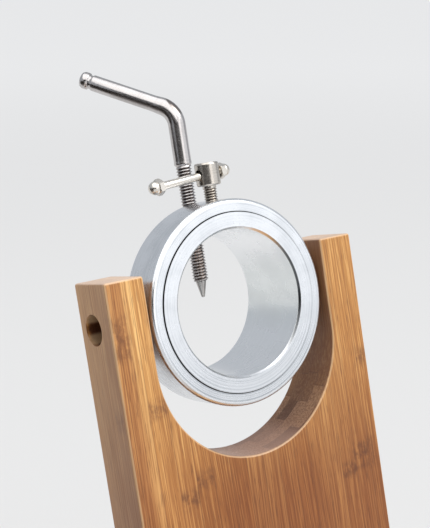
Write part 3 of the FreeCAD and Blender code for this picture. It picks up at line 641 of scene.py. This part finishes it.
# Radii, and heights along the screw in its own frame, which starts at the bore's axis.
SPIKE_PITCH = 1.5
SPIKE_THREAD = 4.0
SPIKE_ROOT = 3.3
SPIKE_FOOT = 10.5
SPIKE_SHOULDER = 69.2
STEM_FOOT = 71.5
STEM = 4.4
CORNER = 96.6
BEND = math.radians(63)
BEND_RADIUS = 11.5
HANDLE_END = 51.8


def bent_stem():
    """Rings up the stem and round the bend, then the directions along and across the handle."""
    side = Vector((0, 1, 0))
    start = CORNER - BEND_RADIUS * math.tan(BEND / 2)
    rings = [circle(Vector((0, 0, height)), Vector((1, 0, 0)), side, STEM, 72)
             for height in (STEM_FOOT, 76, start)]
    steps = 24
    for k in range(1, steps + 1):
        turn = BEND * k / steps
        across = Vector((math.cos(turn), 0, -math.sin(turn)))
        centre = Vector((BEND_RADIUS * (1 - math.cos(turn)), 0, start + BEND_RADIUS * math.sin(turn)))
        rings.append(circle(centre, across, side, STEM, 72))
    return rings, Vector((math.sin(BEND), 0, math.cos(BEND))), across


def make_spike_screw():
    bm = bmesh.new()
    thread(bm, SPIKE_THREAD, SPIKE_PITCH, SPIKE_FOOT, SPIKE_SHOULDER, SPIKE_ROOT)
    turned(bm, [(1.68, 14.1), (1.68, SPIKE_FOOT), (SPIKE_ROOT, SPIKE_FOOT)], 72)
    shoulder = [(SPIKE_THREAD, SPIKE_SHOULDER), (4.45, 69.6), (4.45, 70.5), (STEM, 70.9)]
    turned(bm, rounded(shoulder, 0.2) + [(STEM, STEM_FOOT)], 72)
    rings, along, across = bent_stem()
    # The handle's radius against the distance from the corner: a taper, a neck and a button.
    tangent = BEND_RADIUS * math.tan(BEND / 2)
    handle = [
        (STEM, tangent + 0.5), (4.25, tangent + 2), (4.05, tangent + 5), (4.05, 26), (4.05, 44.8),
        (3.95, 45.2), (3.5, 45.9), (3.45, 46.5), (3.5, 47.1), (4.15, 47.7), (4.28, 48.1), (4.28, 50.0),
        (4.12, 50.45), (3.65, 51.25), (2.6, 51.75), (1.3, HANDLE_END),
    ]
    corner = Vector((0, 0, CORNER))
    for radius, reach in handle:
        rings.append(circle(corner + along * reach, across, Vector((0, 1, 0)), radius, 72))
    rings.append([corner + along * HANDLE_END])
    skin(bm, rings)
    obj = make_object("spike_screw_threaded", bm, SPIKE_FRAME, 40)
    return place_piece(obj, "spike", "polished_steel", POLISHED_ROD, "spike_screw")


def make_spike_tip():
    bm = bmesh.new()
    profile = [(0, 2.0), (0.35, 2.02), (0.6, 2.15), (0.9, 2.4), (2.62, 10.1), (2.6, 10.4),
               (1.6, 10.4), (1.6, 14), (0, 14)]
    turned(bm, profile, 72)
    obj = make_object("spike_tip_point", bm, SPIKE_FRAME)
    return place_piece(obj, "spike_point", "polished_steel", SPIKE_TIP, "spike_tip")


# ---- lock screw, tommy bar and cap nuts ------------------------------------------------

LOCK_PITCH = 1.25
LOCK_THREAD = 3.35
LOCK_ROOT = 2.75
LOCK_FOOT = 41.6
LOCK_NECK = 56.4
LOCK_TOP = 68.5


def make_lock_screw():
    bm = bmesh.new()
    thread(bm, LOCK_THREAD, LOCK_PITCH, LOCK_FOOT, LOCK_NECK, LOCK_ROOT)
    turned(bm, [(0, 45.1), (1.27, 45.1), (1.27, LOCK_FOOT), (LOCK_ROOT, LOCK_FOOT)], 72)
    # Many rings up the head's side keep its shading smooth round the cross-hole.
    side = [(5.9, 57.9 + 0.485 * k) for k in range(21)]
    outline = ([(LOCK_THREAD, LOCK_NECK), (LOCK_THREAD, 57.3), (5.3, 57.3)] + side
               + [(5.5, LOCK_TOP), (0, LOCK_TOP)])
    turned(bm, rounded(outline, 0.35), 144)
    obj = make_object("lock_screw_threaded", bm, LOCK_FRAME)
    cutter = bmesh.new()
    turned(cutter, [(0, -9), (2.55, -9), (2.55, 9), (0, 9)], 48)
    cut_away(obj, make_object("bar_hole", cutter, LOCK_FRAME @ shifted(z=BAR_HEIGHT) @ ALONG_X))
    return place_piece(obj, "lock", "nickel_steel", NICKEL_THREAD, "lock_screw")


def make_tommy_bar():
    bm = bmesh.new()
    turned(bm, rounded([(0, -33.4), (1.95, -33.4), (1.95, 10.8), (0, 10.8)], 0.3), 48)
    obj = make_object("tommy_bar_rod", bm, BAR_FRAME @ ALONG_X)
    return place_piece(obj, "bar", "nickel_steel", NICKEL, "tommy_bar")


def hexagon(flats, corner_radius):
    """Radius of a hexagon against the angle, never beyond the corner radius."""
    def radius(angle):
        within = (angle % (math.pi / 3)) - math.pi / 6
        return min(flats / math.cos(within), corner_radius)
    return radius


NUT_FLATS = 3.5
NUT_CORNER = NUT_FLATS / math.cos(math.pi / 6)
NUT_BEVEL = 3.35


def make_cap_nut(side, reach, turn):
    """A hexagon bevelled to a round at both ends, with a necked dome on top."""
    bm = bmesh.new()
    profile = [(0, 4.2), (1.98, 4.2), (1.98, 0.0), (3.3, 0.0)]
    steps = [k / 4 for k in range(5)]
    profile += [(hexagon(NUT_FLATS, NUT_BEVEL + t * (NUT_CORNER - 3.3)), 0.38 * t) for t in steps]
    profile += [(hexagon(NUT_FLATS, NUT_CORNER - t * (NUT_CORNER - NUT_BEVEL)), 2.6 + 0.42 * t)
                for t in steps]
    profile += [(3.2, 3.06), (3.1, 3.15), (3.22, 3.4), (3.2, 3.9), (3.05, 4.6), (2.75, 5.3),
                (2.3, 5.95), (1.7, 6.4), (0.95, 6.7), (0, 6.8)]
    turned(bm, profile, 96)
    place = BAR_FRAME @ shifted(x=reach) @ turned_by(turn, "Y")
    obj = make_object("cap_nut_" + side, bm, place, 28)
    return place_piece(obj, "bar", "nickel_steel", NICKEL, "tommy_nut_" + side)


make_spike_screw()
make_spike_tip()
make_lock_screw()
make_tommy_bar()
make_cap_nut("left", reach=-29.2, turn=-90)
make_cap_nut("right", reach=6.6, turn=90)


# ---- floor, light and camera -----------------------------------------------------------


def make_floor():
    bm = bmesh.new()
    bmesh.ops.create_circle(bm, cap_ends=True, radius=14, segments=96)
    mesh = bpy.data.meshes.new("floor")
    bm.to_mesh(mesh)
    bm.free()
    floor = bpy.data.objects.new("floor", mesh)
    bpy.context.scene.collection.objects.link(floor)
    s = Shader("floor_paper")
    place = s.node("TexCoord").outputs["Object"]
    distance = s.node("VectorMath", {0: place}, operation="LENGTH").outputs["Value"]
    paper = s.mix(s.between(distance, 0.4, 4.0), (0.72, 0.712, 0.701), (0.865, 0.855, 0.845))
    mesh.materials.append(s.set(colour=paper, roughness=1.0, specular=0.0))


def make_world():
    """A soft grey surround that lights the object, and a paler one that the camera sees."""
    world = bpy.data.worlds.new("studio")
    bpy.context.scene.world = world
    world.use_nodes = True
    tree = world.node_tree
    surround = tree.nodes["Background"]
    surround.inputs[0].default_value = (0.50, 0.525, 0.56, 1)
    seen = tree.nodes.new("ShaderNodeBackground")
    seen.inputs[0].default_value = (0.775, 0.775, 0.775, 1)
    path = tree.nodes.new("ShaderNodeLightPath")
    choose = tree.nodes.new("ShaderNodeMixShader")
    tree.links.new(path.outputs["Is Camera Ray"], choose.inputs[0])
    tree.links.new(surround.outputs[0], choose.inputs[1])
    tree.links.new(seen.outputs[0], choose.inputs[2])
    tree.links.new(choose.outputs[0], tree.nodes["World Output"].inputs[0])


def aim(obj, position, target):
    """Put a light, card or camera at the position, facing the target."""
    obj.location = position
    obj.rotation_euler = (Vector(target) - Vector(position)).to_track_quat("-Z", "Y").to_euler()


# Lights face the ring, and cards the screws above it. The lens is in millimetres.
RING_CENTRE = (0, 0.17, 0.29)
SCREWS_CENTRE = (0, 0.17, 0.33)
CAMERA_PLACE = (-0.278286, -0.209422, 0.456522)
CAMERA_TARGET = (-0.007143, 0.171982, 0.311331)
CAMERA_LENS = 69.656


def make_softbox(name, position, size, power):
    light = bpy.data.lights.new(name, "AREA")
    light.shape = "RECTANGLE"
    light.size, light.size_y = size
    light.energy = power
    box = bpy.data.objects.new(name, light)
    box.visible_camera = False
    aim(box, position, RING_CENTRE)
    bpy.context.scene.collection.objects.link(box)


def make_lights():
    sun = bpy.data.lights.new("key", "SUN")
    sun.energy = 1.75
    sun.angle = math.radians(35)
    sun.color = (1.0, 0.985, 0.96)
    key = bpy.data.objects.new("key", sun)
    aim(key, (1.0, -1.35, 2.0), (0, 0, 0))
    bpy.context.scene.collection.objects.link(key)
    make_softbox("front_right_box", (1.0, -1.25, 1.2), (2.3, 1.9), 7.6)
    make_softbox("top_box", (-0.2, 0.3, 1.7), (1.2, 1.2), 6)


BLACK_CARD = (0.03, 0.025, 0.022)
GREY_CARD = (0.22, 0.20, 0.19)
WHITE_CARD = (0.8, 0.8, 0.8)


def make_card(name, position, size, colour, glow=0.0):
    """A card that only mirrors see, as photographers use to shape the shine on chrome."""
    bm = bmesh.new()
    bmesh.ops.create_grid(bm, x_segments=1, y_segments=1, size=0.5)
    mesh = bpy.data.meshes.new(name)
    bm.to_mesh(mesh)
    bm.free()
    card = bpy.data.objects.new(name, mesh)
    aim(card, position, SCREWS_CENTRE)
    card.scale = (*size, 1)
    card.visible_camera = card.visible_diffuse = card.visible_shadow = card.visible_transmission = False
    bpy.context.scene.collection.objects.link(card)
    s = Shader(name)
    s.put(s.surface.inputs["Emission Color"], (1.0, 0.99, 0.98))
    s.put(s.surface.inputs["Emission Strength"], glow)
    mesh.materials.append(s.set(colour=colour, roughness=1.0, specular=0.0))


def make_camera():
    camera = bpy.data.objects.new("camera", bpy.data.cameras.new("camera"))
    camera.data.lens = CAMERA_LENS
    camera.data.sensor_width = 36
    camera.data.clip_start = 0.01
    aim(camera, CAMERA_PLACE, CAMERA_TARGET)
    bpy.context.scene.collection.objects.link(camera)
    bpy.context.scene.camera = camera


make_floor()
make_world()
make_lights()
# Black cards draw the dark lines on the rods, and the pale ones their bright upper halves.
make_card("left_flag", (-1.0, 0.35, 0.13), (1.2, 0.56), BLACK_CARD)
make_card("front_flag", (-0.535, -0.382, 0.53), (1.08, 0.34), BLACK_CARD)
make_card("low_flag", (-0.33, 0.18, 0.258), (0.4, 0.175), BLACK_CARD)
make_card("grey_card", (-0.33, 0.18, 0.10), (0.4, 0.14), GREY_CARD)
make_card("bounce_card", (-0.55, -0.35, 1.35), (1.6, 1.2), WHITE_CARD, glow=1.15)
make_card("strip_card", (0.105, -0.98, 0.70), (0.5, 0.6), WHITE_CARD, glow=1.1)
make_camera()
bpy.context.scene.view_settings.view_transform = "Standard"
